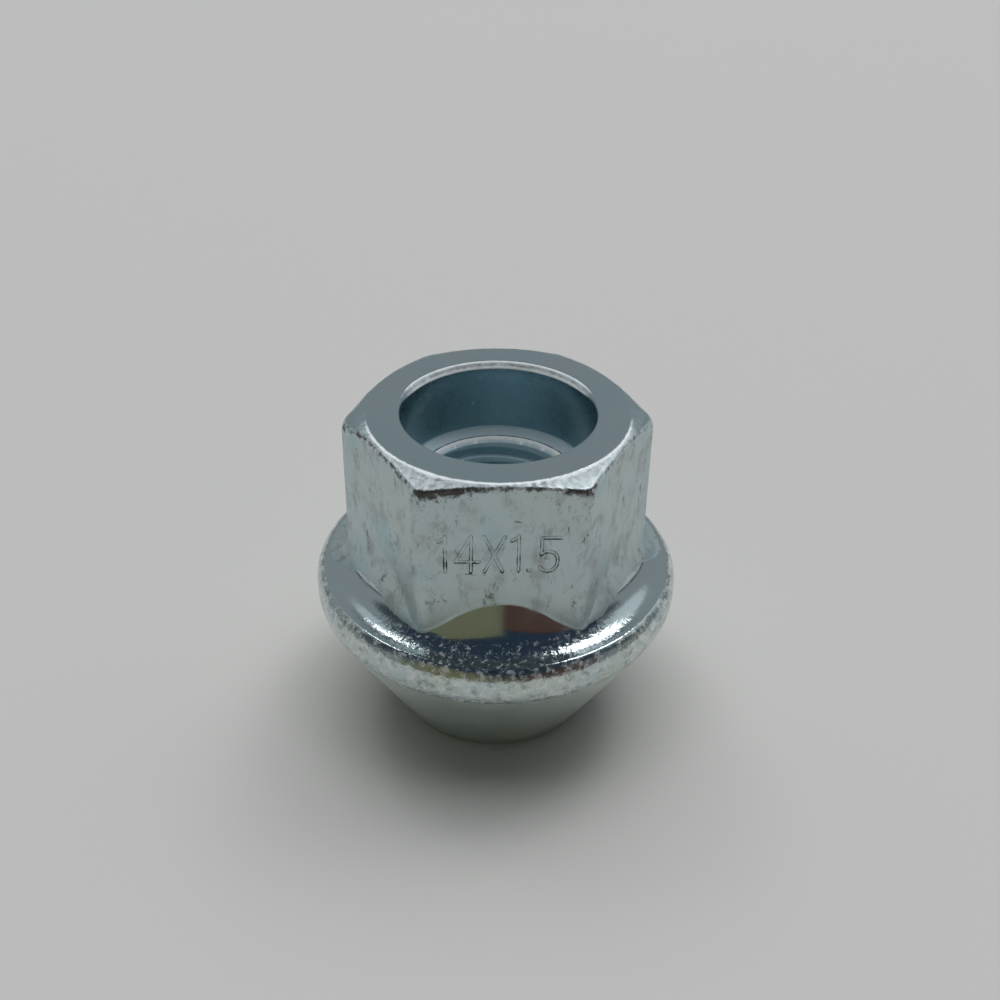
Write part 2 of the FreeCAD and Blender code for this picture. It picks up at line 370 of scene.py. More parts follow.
@dataclass(frozen=True)
class Thread:
    """The right-handed M14 x 1.5 thread below the ledge, with a fading first turn."""

    pitch: float = 1.5
    minor_radius: float = 6.188
    major_radius: float = 7.0
    lead_radius: float = 7.188
    start: float = 22.758
    turns: int = 17
    steps: tuple[float, ...] = (0.0, 0.25, 0.40625, 0.5625, 0.6875, 0.84375)
    fade: Pair = (-0.1, 0.4)
    bevel: float = 0.45
    ledge_lip: float = 0.12
    bevel_lip: float = 0.10

    @property
    def rows(self) -> int:
        """How many rows of points make one turn's profile."""
        return len(self.steps)

    def cut(self, phase: np.ndarray, azimuth: np.ndarray) -> np.ndarray:
        """Radius of the thread at a phase, counted in turns downwards.

        Over one turn the profile is a quarter of crest, a flank out to the major radius, an
        eighth of root and a flank back. The depth is scaled by how far down the helix the
        point is, so that the groove fades out in its uppermost turn.

        Args:
            phase: distance down from the helix line, in pitches.
            azimuth: the columns' angles in degrees.

        Returns:
            The radii.
        """
        places, levels = (0.0, 0.25, 0.5625, 0.6875, 1.0), (0.0, 0.0, 1.0, 1.0, 0.0)
        profile = np.interp(phase % 1.0, places, levels)
        share = step(np.floor(phase) - azimuth / 360.0, *self.fade)
        return self.minor_radius + (self.major_radius - self.minor_radius) * profile * share

    def phase(self, azimuth: np.ndarray, height: np.ndarray | float) -> np.ndarray:
        """Distance of a height below the helix line at each azimuth, in pitches."""
        return (self.start - height) / self.pitch + azimuth / 360.0

    def entry(self, azimuth: np.ndarray, bore: Bore) -> Point:
        """The ledge's inner edge, by four steps of radius and ledge height.

        The radius is the thread's own, or that of the 45 degree bevel where this is wider.

        Args:
            azimuth: the columns' angles in degrees.
            bore: the counterbore, for its ledge.

        Returns:
            The radii and the heights.
        """
        height = radius = np.full(azimuth.shape, bore.ledge(self.minor_radius))
        for _ in range(4):
            cut = self.cut(self.phase(azimuth, height), azimuth)
            radius = np.maximum(cut, self.minor_radius + self.bevel)
            height = bore.ledge(radius)
        return radius, height

    def surface(self, azimuth: np.ndarray, top: np.ndarray) -> Point:
        """All rows of the thread as a grid, cut off at the ledge and at the seat end.

        A row is one line of constant phase: z = start + pitch * (azimuth / 360 - phase). Near
        the seat end the radius is at least lead_radius - z, which is the 45 degree lead-in.

        Args:
            azimuth: the columns' angles in degrees.
            top: the ledge's height where it meets the thread, for each column.

        Returns:
            The radii and the heights.
        """
        turn = np.arange(self.turns)[:, None] + np.array(self.steps)
        phase = np.concatenate([turn.ravel(), [float(self.turns)]])[:, None]
        phase = np.maximum(phase, self.phase(azimuth, top))
        phase = np.minimum(phase, self.phase(azimuth, 0.0))
        height = self.start + self.pitch * (azimuth / 360.0 - phase)
        radius = np.maximum(self.cut(phase, azimuth), self.lead_radius - height)
        return radius, np.maximum(height, 0.0)


@dataclass(frozen=True)
class Figures:
    """The sunk thread size on the front flat: 14, a multiplication cross and 1.5."""

    half_width: float = 0.10
    edge: float = 0.07
    depth: float = 0.07
    # Width of the dirt and painted shade along the strokes' side walls.
    dirt_and_shade_width: float = 0.05
    left: float = -5.0
    right: float = 4.5
    within: float = 27.0
    strokes: Lines = (
        ((-4.72, 23.68), (-4.25, 23.99)),
        ((-4.23, 24.13), (-4.25, 22.6), (-4.23, 20.91)),
        ((-2.32, 24.10), (-3.47, 21.83), (-1.74, 21.80)),
        ((-2.32, 24.10), (-2.34, 20.87)),
        ((-1.35, 24.10), (0.02, 20.88)),
        ((0.19, 24.06), (-1.32, 20.86)),
        ((0.69, 23.70), (1.16, 23.97)),
        ((1.19, 24.10), (1.21, 20.95)),
        ((1.93, 20.99), (2.12, 20.99)),
        ((4.27, 23.95), (2.93, 23.93), (2.88, 22.42), (3.10, 22.64), (3.475, 22.73)),
        ((3.475, 22.73), (3.85, 22.56), (4.08, 22.18), (4.13, 21.76), (4.03, 21.30)),
        ((4.03, 21.30), (3.77, 20.99), (3.40, 20.87), (3.03, 20.99), (2.79, 21.27)),
    )

    def gap(self, x: np.ndarray, z: np.ndarray) -> np.ndarray:
        """Distance of each point of the flat from the nearest stroke's centre line."""
        return nearest(x, z, self.strokes)

    def sink(self, gap: np.ndarray) -> np.ndarray:
        """Depth of the figures: full within half_width of a stroke, falling to 0 over edge."""
        return self.depth * step(gap, self.half_width + self.edge, self.half_width)

    def dirt_and_shade(self, gap: np.ndarray) -> np.ndarray:
        """Share of dirt and painted shade in the sunk strokes: a bell curve of the distance from
        the strokes' side walls.
        """
        return bell(gap, self.half_width, self.dirt_and_shade_width)


@dataclass
class Skin:
    """Rows of points round the nut, from the seat end up the outside and down the bore."""

    azimuth: np.ndarray
    radii: list[np.ndarray] = field(default_factory=list)
    heights: list[np.ndarray] = field(default_factory=list)
    zones: list[np.ndarray] = field(default_factory=list)

    def add(self, points: Point, zone: Zone | np.ndarray) -> None:
        """Appends rows, each with the strip of faces below it.

        Args:
            points: radii and heights, (rows, columns) or (rows, 1).
            zone: the finish of these strips, or a finish number for every face.
        """
        shape = (max(np.shape(part)[0] for part in points), self.azimuth.size)
        for rows, values in zip((self.radii, self.heights, self.zones), (*points, zone)):
            rows.append(np.broadcast_to(values, shape))

    def line(self, end: Point, rows: int, zone: Zone) -> None:
        """Appends a straight run of rows from the last one to end."""
        self.add(straight(self.last, end, rows), zone)

    def bend(self, corner: Point, end: Point, rows: int, zone: Zone) -> None:
        """Appends a rounded corner of rows from the last one to end."""
        self.add(eased(self.last, corner, end, rows), zone)

    @property
    def last(self) -> Point:
        """Radius and height of the last row."""
        return self.radii[-1][-1], self.heights[-1][-1]

    @property
    def count(self) -> int:
        """How many rows there are so far."""
        return sum(len(zone) for zone in self.zones)


@dataclass(frozen=True)
class Wear:
    """Marks of handling, in millimetres and degrees: dark edges, scratches, bright metal from
    scraping with painted highlights, painted glints in the peening and a painted shadow line.

    A pair named side holds the sines of the azimuth between which a mark fades in. The stain's
    pairs are the middle and the width of a bell curve.
    """

    dark_edge: tuple[Pair, ...] = (
        (176.0, 0.01), (182.0, 0.30), (205.0, 0.34), (238.0, 0.40), (241.0, 1.1), (252.0, 0.95),
        (258.0, 0.45), (275.0, 0.34), (289.0, 0.42), (296.0, 0.75), (301.0, 0.6), (306.0, 0.24),
        (330.0, 0.16), (352.0, 0.20), (357.0, 0.01),
    )
    dark_share: Pair = (0.42, 0.6)
    least_edge: float = 0.1
    edge_share: float = 0.7
    edge_inset: float = 0.1
    edge_width: float = 0.16
    upright_width: float = 0.7
    upright_reach: float = 3.5
    upright_share: float = 0.55
    scratch_width: float = 0.05
    scratch_share: float = 0.75
    scratch_within: float = 33.0
    scratches: Lines = (
        ((0.88, 25.45), (2.29, 25.15), (2.18, 24.69)),
        ((-2.84, 20.72), (-1.21, 20.54)),
        ((-5.74, 20.62), (-5.33, 20.29), (-4.55, 21.03)),
        ((-4.03, 20.83), (-3.62, 21.11)),
        ((-2.17, 19.80), (-0.69, 19.66), (-0.20, 19.45)),
        ((-6.05, 21.55), (-6.07, 20.10)),
        ((-6.08, 19.75), (-6.10, 18.70)),
        ((4.80, 24.9), (4.95, 23.2)),
    )
    # Where the bright metal and painted highlight lie: the land's line, the crown, the mouth and
    # the bevel.
    line_inset: float = 0.08
    line_width: float = 0.13
    facet_width: float = 0.2
    facet_share: float = 0.5
    front_side: Pair = (-0.1, 0.45)
    mouth_side: Pair = (0.10, 0.60)
    mouth_share: float = 0.50
    lip_width: float = 0.08
    bevel_side: Pair = (-0.2, 0.4)
    bevel_drop: float = 0.03
    # Width of the painted shadow line at the ledge's edge.
    entry_width: float = 0.01
    # Where the hollow's peening and painted white glints lie.
    speckle_side: Pair = (-0.45, -0.85)
    speckle_top: Pair = (15.5, 15.0)
    stain_azimuth: Pair = (198.0, 5.0)
    stain_height: Pair = (12.9, 0.7)

    def worn(
        self, azimuth: np.ndarray, below: np.ndarray, beside: np.ndarray, inside: np.ndarray
    ) -> np.ndarray:
        """Dark wear under the top edge and faintly down the upright corners.

        Under the edge it is exp(-below / thickness), with the thickness read off at each azimuth,
        and inside the edge exp(-inside / width), both fainter where the wear is thin. At a corner
        it is exp(-beside / width) times exp(-below / reach).

        Args:
            azimuth: the columns' angles in degrees.
            below: how far each point lies under the edge's rounding.
            beside: how far each point lies from the nearest upright corner.
            inside: how far each point of the crown lies inside the edge, 0 on the wall.

        Returns:
            The share at every point.
        """
        thick = np.interp(azimuth, *zip(*self.dark_edge))
        base, gain = self.dark_share
        share = np.clip(base + gain * thick, 0.0, 1.0) * (thick > self.least_edge)
        edge = share * np.exp(-below / thick - inside / self.edge_width)
        upright = np.exp(-beside / self.upright_width) * np.exp(-below / self.upright_reach)
        return np.maximum(edge, self.upright_share * upright * (inside <= 0.0))

    def scraped_and_highlit(self, azimuth: np.ndarray, radius: np.ndarray, hexagon: Hexagon) -> np.ndarray:
        """Bright metal from scraping, with a painted highlight over it: a line along the land's
        edge and the crown at the front.

        The line is a bell curve over the radius, both fade out from the front to the sides by a
        smooth step of the sine of the azimuth.

        Args:
            azimuth: the columns' angles in degrees.
            radius: every point's radius.
            hexagon: the hexagon, for the land's radius.

        Returns:
            The share at every point.
        """
        front = step(-np.sin(np.radians(azimuth)), *self.front_side)
        edge = hexagon.land_radius
        line = bell(radius, edge + self.line_inset, self.line_width)
        facet = self.facet_share * step(radius, edge, edge + self.facet_width)
        return np.maximum(line, facet) * front


@dataclass
class NutBody:
    """The whole nut as one closed skin. An ease is how far a rounding reaches from its corner."""

    hexagon: Hexagon = field(default_factory=Hexagon)
    flange: Flange = field(default_factory=Flange)
    bore: Bore = field(default_factory=Bore)
    thread: Thread = field(default_factory=Thread)
    figures: Figures = field(default_factory=Figures)
    wear: Wear = field(default_factory=Wear)
    flat_columns: int = 22
    corner_columns: int = 10
    beside_figures: tuple[int, int] = (9, 12)
    figure_pitch: float = 0.065
    figure_rows: int = 80
    figure_span: Pair = (19.5, 25.5)
    hollow_rows: int = 24
    top_ease: float = 0.30
    corner_ease: float = 1.90
    corner_from: Pair = (8.0, 30.0)
    back_ease: float = 0.35
    back_side: Pair = (-0.866, 0.866)
    crown_ease: Pair = (0.04, 0.10)
    crown_share: float = 0.85
    dent_depth: float = 0.05
    dent_size: float = 0.8
    wobble: float = 0.010
    wobble_size: float = 5.0
    weld: float = 1e-6
    crease: float = 30.0

    def columns(self) -> np.ndarray:
        """Azimuths of the columns: even steps along each flat and round each corner.

        Across the figures on the front flat the step is figure_pitch.

        Returns:
            The azimuths in degrees, from 0 upwards.
        """
        hexagon, figures = self.hexagon, self.figures
        half = hexagon.corner_centre / 2
        left, right = self.beside_figures
        side = np.linspace(-half, half, self.flat_columns, endpoint=False)
        front = np.concatenate([
            np.linspace(-half, figures.left, left, endpoint=False),
            np.arange(figures.left, figures.right, self.figure_pitch),
            np.linspace(figures.right, half, right, endpoint=False),
        ])
        edge = math.degrees(math.atan2(half, hexagon.flat_reach))
        corner = np.linspace(edge, 60.0 - edge, self.corner_columns, endpoint=False)
        parts = []
        for face in range(6):
            across = front if face == 0 else side
            middle = hexagon.front + 60.0 * face
            parts.append(middle + np.degrees(np.arctan2(across, hexagon.flat_reach)))
            parts.append(middle + corner)
        return np.sort(np.concatenate(parts) % 360.0)

    def edge_ease(self, azimuth: np.ndarray) -> np.ndarray:
        """Reach of the top edge's rounding, which grows at the corners away from the marking.

        It is top_ease + side * (back_ease + corner_ease * corner), where side rises from 0 to 1
        with the sine of the azimuth and corner is a smooth step towards each upright corner.

        Args:
            azimuth: the columns' angles in degrees.

        Returns:
            One reach for each column.
        """
        side = np.interp(np.sin(np.radians(azimuth)), self.back_side, (0.0, 1.0))
        corner = step(np.abs(around(azimuth, self.hexagon.front, 60.0)), *self.corner_from)
        return self.top_ease + side * (self.back_ease + self.corner_ease * corner)

    def skin(self) -> tuple[Skin, int]:
        """Lays out every row of the nut's profile in order.

        A bevel leads from the ledge to the thread's first row. A narrow lip on each side of its
        edge takes the marks there.

        Returns:
            The skin, and the index of the thread's first row.
        """
        thread, azimuth = self.thread, self.columns()
        skin = Skin(azimuth)
        self.lay_seat(skin)
        self.lay_hollow(skin)
        self.lay_hexagon(skin)
        self.lay_mouth(skin)
        entry = thread.entry(azimuth, self.bore)
        below = entry[1] - thread.bevel
        start = (thread.cut(thread.phase(azimuth, below), azimuth), below)
        skin.line(toward(entry, skin.last, thread.ledge_lip), 2, Zone.LEDGE)
        skin.line(entry, 1, Zone.LEDGE)
        skin.line(toward(entry, start, thread.bevel_lip), 1, Zone.LEDGE)
        skin.line(start, 1, Zone.LEDGE)
        first = skin.count
        skin.add(thread.surface(azimuth, below), Zone.THREAD)
        return skin, first

    def lay_seat(self, skin: Skin) -> None:
        """Lays the end ring, the cone, the band and its shoulder up to the crest.

        Args:
            skin: the skin to add to.
        """
        flange = self.flange
        skin.add((np.array([[self.thread.lead_radius]]), np.zeros((1, 1))), Zone.SEAT)
        base = (flange.base_radius, 0.0)
        skin.line(toward(base, skin.last, flange.base_ease), 1, Zone.SEAT)
        skin.bend(base, toward(base, flange.cone_top, flange.base_ease), 3, Zone.SEAT)
        skin.line(flange.cone_top, 6, Zone.SEAT)
        skin.add(arc(flange.round_centre, flange.round_radius, -flange.cone_angle, 0, 6), Zone.RIM)
        skin.line((flange.band_radius, flange.band_top), 2, Zone.RIM)
        centre = (flange.band_radius - flange.shoulder_radius, flange.band_top)
        sweep = flange.shoulder_sweep - math.degrees(flange.crest_ease / flange.shoulder_radius)
        skin.add(arc(centre, flange.shoulder_radius, 0, sweep, 8), Zone.RIM)

    def lay_hollow(self, skin: Skin) -> None:
        """Lays the crest, the hollow and the root, which is rounder off the front flat.

        There the hexagon's forged skin also reaches out over the hollow, as far as the radius
        that forged_reach gives for each azimuth.

        Args:
            skin: the skin to add to.
        """
        flange, azimuth = self.flange, skin.azimuth
        start = flange.hollow(np.full(azimuth.shape, flange.crest_ease))
        skin.bend(flange.crest, start, 3, Zone.HOLLOW)
        side = step(np.abs(around(azimuth, self.hexagon.front, 360.0)), *flange.side_from)
        ease = flange.root_ease + (flange.side_root_ease - flange.root_ease) * side
        meet = flange.meets(self.hexagon, azimuth)
        share = np.linspace(0.0, 1.0, self.hollow_rows + 1)[1:, None]
        floor = flange.hollow(flange.crest_ease + (meet - ease - flange.crest_ease) * share)
        forged = floor[0] < np.interp(azimuth, *zip(*flange.forged_reach))
        skin.add(floor, np.where(forged, Zone.FLATS, Zone.HOLLOW))
        root = flange.hollow(meet)
        rise = root[1] + ease
        skin.bend(root, (self.hexagon.wall(azimuth, rise), rise), 7, Zone.FLATS)

    def lay_hexagon(self, skin: Skin) -> None:
        """Lays the wall, its rounded top edge, the crown and the land.

        Args:
            skin: the skin to add to.
        """
        hexagon, azimuth = self.hexagon, skin.azimuth
        rim = hexagon.rim(azimuth)
        ease = self.edge_ease(azimuth)
        low, high = self.figure_span
        for goal, rows in ((low, 3), (high, self.figure_rows), (rim[1] - ease, 5)):
            level = straight((0.0, skin.last[1]), (0.0, goal), rows)[1]
            skin.add((hexagon.wall(azimuth, level), level), Zone.FLATS)
        edge, mouth = (hexagon.land_radius, hexagon.top), self.bore.mouth(azimuth)[0]
        length = np.hypot(rim[0] - edge[0], rim[1] - edge[1])
        inward = toward(rim, edge, np.minimum(ease, self.crown_share * length))
        skin.bend(rim, inward, 7, Zone.CROWN)
        before, after = self.crown_ease
        skin.line(toward(edge, rim, before), 4, Zone.CROWN)
        skin.bend(edge, toward(edge, mouth, after), 3, Zone.CROWN)
        skin.line(toward(mouth, edge, self.bore.mouth_ease), 3, Zone.LAND)

    def lay_mouth(self, skin: Skin) -> None:
        """Lays the chamfered mouth, the counterbore's wall and the round into its ledge.

        Args:
            skin: the skin to add to.
        """
        bore = self.bore
        entry = self.thread.entry(skin.azimuth, bore)
        mouth, throat = bore.mouth(skin.azimuth)
        floor = (bore.radius, bore.ledge_top)
        skin.bend(mouth, toward(mouth, throat, bore.mouth_ease), 2, Zone.MOUTH)
        skin.line(toward(throat, mouth, bore.mouth_ease), 3, Zone.MOUTH)
        skin.bend(throat, toward(throat, floor, bore.mouth_ease), 2, Zone.MOUTH)
        skin.line(toward(floor, throat, bore.ledge_ease), 4, Zone.BORE)
        skin.bend(floor, toward(floor, entry, bore.ledge_ease), 3, Zone.LEDGE)

    def build(self) -> bpy.types.Object:
        """Makes the mesh: places every row, sinks the figures, dents the worn corners.

        Faces join neighbouring rows and columns. In the thread the last column joins the first
        one a whole turn's rows higher, so that the helix goes on across the seam. The last row
        lies on the first one and is welded to it, which closes the skin. Every dent goes
        inwards, by a share of its depth between 0 and 1.

        Returns:
            The finished object.
        """
        skin, first = self.skin()
        radius, height, zone = map(np.concatenate, (skin.radii, skin.heights, skin.zones))
        angle = np.radians(skin.azimuth)
        marks = self.marks(skin.azimuth, radius, height, zone)

        places = np.stack([radius * np.cos(angle), radius * np.sin(angle), height], axis=-1)
        dent = 0.5 + 0.5 * ripple(places, self.dent_size, seed=11)
        crushed = (zone == Zone.CROWN) & (radius > self.hexagon.land_radius)
        height = height - np.where(crushed, self.dent_depth * dent, 0.0)
        hand = 0.75 + 0.25 * ripple(places, self.wobble_size, seed=23)
        worked = np.isin(zone, (Zone.HOLLOW, Zone.RIM))
        radius = radius - np.where(worked, self.wobble * hand, 0.0)
        x, y = radius * np.cos(angle), radius * np.sin(angle)
        y = y + marks.pop("sunk")

        rows, columns = radius.shape
        index = np.arange(rows * columns).reshape(rows, columns)
        beside = np.roll(index, -1, axis=1)
        turn = np.arange(first, rows)
        beside[first:, -1] = index[np.maximum(turn - self.thread.rows, first), 0]
        quads = np.stack([index[:-1], beside[:-1], beside[1:], index[1:]], axis=-1)

        mesh = bpy.data.meshes.new("lug_nut_body")
        points = np.stack([x, y, height], axis=-1).reshape(-1, 3) * MM
        mesh.from_pydata(points.tolist(), [], quads.reshape(-1, 4).tolist())
        mesh.polygons.foreach_set("material_index", zone[1:].ravel().astype(np.int32))
        for name, share in marks.items():
            layer = mesh.attributes.new(name, "FLOAT", "POINT")
            layer.data.foreach_set("value", share.ravel().astype(np.float32))
        self.close(mesh)
        return put_in_scene("lug_nut_body", mesh)

    def marks(
        self, azimuth: np.ndarray, radius: np.ndarray, height: np.ndarray, zone: np.ndarray
    ) -> dict[str, np.ndarray]:
        """Where the figures and the handling marks lie.

        Args:
            azimuth: the columns' angles in degrees.
            radius: every point's radius.
            height: every point's height.
            zone: every point's finish.

        Returns:
            By name: the dark wear; the bright metal from scraping with painted highlights; the dirt
            and painted shade in the figures and scratches; the peening with painted glints; and the
            stain, shares from 0 to 1; and sunk, the depth of the figures in millimetres. The mouth
            gets scraping and painted highlight, the thread's bevel a painted highlight, by smooth
            steps of the sine of the azimuth, and a painted shadow line lies along the ledge's edge.
        """
        hexagon, figures, bore, wear = self.hexagon, self.figures, self.bore, self.wear
        sine = np.broadcast_to(np.sin(np.radians(azimuth)), radius.shape)
        across = radius * np.cos(np.radians(azimuth))
        off = np.abs(around(azimuth, hexagon.front, 360.0))
        flats, crown, ledge = (zone == kind for kind in (Zone.FLATS, Zone.CROWN, Zone.LEDGE))

        marked, handled = flats & (off < figures.within), flats & (off < wear.scratch_within)
        gap = np.where(marked, figures.gap(across, height), FAR)
        scratch = np.where(handled, nearest(across, height, wear.scratches), FAR)
        scratched = wear.scratch_share * bell(scratch, 0.0, wear.scratch_width)

        rim = hexagon.rim(azimuth)
        below = np.maximum(rim[1] - wear.edge_share * self.edge_ease(azimuth) - height, 0.0)
        inside = np.where(crown, np.maximum(rim[0] - radius - wear.edge_inset, 0.0), 0.0)
        turned = np.radians(around(azimuth, hexagon.front, 60.0))
        beside = np.maximum(hexagon.corner_centre / 2 - np.abs(radius * np.sin(turned)), 0.0)

        # Bright metal with a painted highlight on the mouth's far side and the crown's front.
        lips = np.maximum(*(bell(radius, edge[0], wear.lip_width) for edge in bore.mouth(azimuth)))
        mouth = step(sine, *wear.mouth_side) * wear.mouth_share * (1.0 + lips)
        front = wear.scraped_and_highlit(azimuth, radius, hexagon) * crown
        scraped_and_highlit = np.where(zone == Zone.MOUTH, mouth, front)
        drop = np.where(ledge, bore.ledge(radius) - height, 0.0)
        entry = self.thread.entry(azimuth, bore)[0]
        # The painted shadow line: a narrow ring at the ledge's inner edge, above the bevel.
        at_edge = ledge & (np.abs(radius - entry) < wear.entry_width) & (drop < wear.bevel_drop)
        return {
            "worn": wear.worn(azimuth, below, beside, inside) * (flats | crown),
            # Bright metal and a painted highlight on the crown and mouth, and a painted highlight
            # on the bevel's far side.
            "scraped_and_highlit": np.where(drop > wear.bevel_drop, step(sine, *wear.bevel_side), scraped_and_highlit),
            # Dirt and painted shade in the figures, dark scratches, and the painted shadow line at
            # the ledge.
            "dirt_and_shade": np.where(at_edge, 1.0, np.maximum(figures.dirt_and_shade(gap), scratched)),
            # Peening with painted white glints on the front of the hollow.
            "peened_and_glinting": step(sine, *wear.speckle_side) * step(height, *wear.speckle_top),
            "stained": bell(azimuth, *wear.stain_azimuth) * bell(height, *wear.stain_height),
            "sunk": figures.sink(gap),
        }

    def close(self, mesh: bpy.types.Mesh) -> None:
        """Welds points that lie on each other, turns faces outwards and marks the creases.

        Args:
            mesh: the nut's mesh.
        """
        shell = bmesh.new()
        shell.from_mesh(mesh)
        bmesh.ops.remove_doubles(shell, verts=shell.verts, dist=self.weld)
        bmesh.ops.dissolve_degenerate(shell, edges=shell.edges, dist=self.weld)
        bmesh.ops.recalc_face_normals(shell, faces=shell.faces)
        shell.to_mesh(mesh)
        shell.free()
        mesh.polygons.foreach_set("use_smooth", np.ones(len(mesh.polygons), dtype=bool))
        mesh.set_sharp_from_angle(angle=math.radians(self.crease))


# Finishes


def linear(code: str) -> tuple[float, float, float, float]:
    """Turns an sRGB hex colour into a linear one by the sRGB curve.

    Args:
        code: the colour, such as #C5CBCB.

    Returns:
        Linear red, green and blue, and an alpha of 1.
    """
    parts = [int(code[i : i + 2], 16) / 255 for i in (1, 3, 5)]
    low = [p / 12.92 if p <= 0.04045 else ((p + 0.055) / 1.055) ** 2.4 for p in parts]
    return low[0], low[1], low[2], 1.0


def add_node(
    tree: bpy.types.NodeTree,
    kind: str,
    output: str | int,
    inputs: dict[str | int, object] | None = None,
    **settings: object,
) -> bpy.types.NodeSocket:
    """Adds one node, sets its properties and joins or sets its inputs.

    Args:
        tree: the node tree.
        kind: the node's type, without its ShaderNode prefix.
        output: name or index of the output that is wanted from it.
        inputs: for an input's name or index, either a value or the output that feeds it.
        settings: the node's own properties.

    Returns:
        The wanted output, or the first input of a node that has no outputs.
    """
    node = tree.nodes.new("ShaderNode" + kind)
    for name, value in settings.items():
        setattr(node, name, value)
    for name, value in (inputs or {}).items():
        if isinstance(value, bpy.types.NodeSocket):
            tree.links.new(value, node.inputs[name])
        else:
            node.inputs[name].default_value = value
    return node.outputs[output] if node.outputs else node.inputs[0]


Triple = tuple[float, float, float]


@dataclass(frozen=True)
class Patch:
    """An irregular layer over a finish, where noise plus a mark rises past a smooth step.

    size is the width of its features in millimetres, about half the noise's wave, and stretch
    its scale along x, y and z. lift is the mark's weight beside the noise. The colour is laid over
    the tint, gloss is added to the roughness and metal to the metallic share.
    """

    size: float
    low: float
    high: float
    share: float = 1.0
    colour: str = ""
    gloss: float = 0.0
    metal: float = 0.0
    mark: str = ""
    lift: float = 0.0
    detail: float = 2.0
    rough: float = 0.5
    stretch: Triple = (1.0, 1.0, 1.0)


@dataclass(frozen=True)
class Relief:
    """Fine unevenness: strength, width in millimetres, as rings or all round, within a mark."""

    strength: float
    size: float
    detail: float = 2.0
    rings: bool = False
    mark: str = ""


@dataclass(frozen=True)
class ZincFinish:
    """One finish of the bright zinc plating over the steel.

    Zinc plating is a thin bluish-white metal film with a clear chromate over it, so it shows
    soft blue-grey reflections and faint teal, yellow and purple interference tints.
    """

    name: str
    tint: str
    roughness: float
    patches: tuple[Patch, ...]
    reliefs: tuple[Relief, ...]
    metallic: float = 1.0
    relief_depth: float = 0.00005

    def make(self) -> bpy.types.Material:
        """Builds the material on Object coordinates, turned into millimetres.

        Returns:
            The material.
        """
        material = bpy.data.materials.new(self.name)
        material.use_nodes = True
        tree = material.node_tree
        tree.nodes.clear()
        node = partial(add_node, tree)
        place = node("TexCoord", "Object")
        in_mm = node("VectorMath", 0, {0: place, 1: (1.0 / MM,) * 3}, operation="MULTIPLY")
        surface: dict[str | int, object] = {
            "Base Color": linear(self.tint), "Metallic": self.metallic,
            "Roughness": self.roughness,
        }
        for patch in self.patches:
            where = node("VectorMath", 0, {0: in_mm, 1: patch.stretch}, operation="MULTIPLY")
            here = node(
                "TexNoise", "Fac",
                {"Vector": where, "Scale": 0.5 / patch.size, "Detail": patch.detail,
                 "Roughness": patch.rough},
            )
            if patch.mark:
                mark = node("Attribute", "Fac", attribute_name=patch.mark)
                add = {0: mark, 1: patch.lift, 2: here}
                here = node("Math", 0, add, operation="MULTIPLY_ADD")
            here = node(
                "MapRange", 0,
                {"Value": here, "From Min": patch.low, "From Max": patch.high,
                 "To Max": patch.share},
                interpolation_type="SMOOTHSTEP",
            )
            if patch.colour:
                mix = {"Factor": here, 6: surface["Base Color"], 7: linear(patch.colour)}
                surface["Base Color"] = node("Mix", 2, mix, data_type="RGBA")
            for name, gain in (("Roughness", patch.gloss), ("Metallic", patch.metal)):
                if gain:
                    add = {0: here, 1: gain, 2: surface[name]}
                    surface[name] = node("Math", 0, add, operation="MULTIPLY_ADD")

        for relief in self.reliefs:
            where = in_mm
            if relief.rings:
                flat = node("VectorMath", 0, {0: in_mm, 1: (1.0, 1.0, 0.0)}, operation="MULTIPLY")
                reach = node("VectorMath", "Value", {0: flat}, operation="LENGTH")
                up = node("SeparateXYZ", 2, {0: in_mm})
                where = node("CombineXYZ", 0, {0: reach, 1: up})
            level = node(
                "TexNoise", "Fac",
                {"Vector": where, "Scale": 0.5 / relief.size, "Detail": relief.detail},
            )
            if relief.mark:
                mark = node("Attribute", "Fac", attribute_name=relief.mark)
                level = node("Math", 0, {0: level, 1: mark}, operation="MULTIPLY")
            bump = {"Strength": relief.strength, "Distance": self.relief_depth, "Height": level}
            if "Normal" in surface:
                bump["Normal"] = surface["Normal"]
            surface["Normal"] = node("Bump", 0, bump)
        shader = node("BsdfPrincipled", 0, surface)
        node("OutputMaterial", 0, {"Surface": shader})
        return material


# Layers that several finishes share.
SMEARS = Patch(size=0.9, low=0.35, high=0.70, gloss=0.10, detail=5.0)
THIN_SMEARS = replace(SMEARS, gloss=0.05)
FILM = Patch(size=2.2, low=0.42, high=0.68, share=0.6, colour="#C9D2C6")
# Bright metal from scraping with a painted white highlight over it.
SCRAPED_AND_HIGHLIT = Patch(
    size=0.26, low=0.62, high=1.28, colour="#F1F6F8", gloss=0.10, metal=-0.80, mark="scraped_and_highlit",
    lift=0.85, detail=6.0, rough=0.75,
)
WORN = Patch(
    size=0.22, low=0.76, high=1.00, share=0.92, colour="#3A322E", gloss=0.12, mark="worn",
    lift=0.60, detail=6.0, rough=0.7,
)
WORN_OLIVE = replace(WORN, size=0.45, low=1.00, high=1.14, share=0.6, colour="#7A6E58", gloss=0.0)

# Tool rings and the plating's grain, drawn as coarse as they need to be to show.
RINGS = Relief(0.15, 0.07, 3.0, rings=True)
GRAIN = Relief(0.10, 0.10, 3.0)

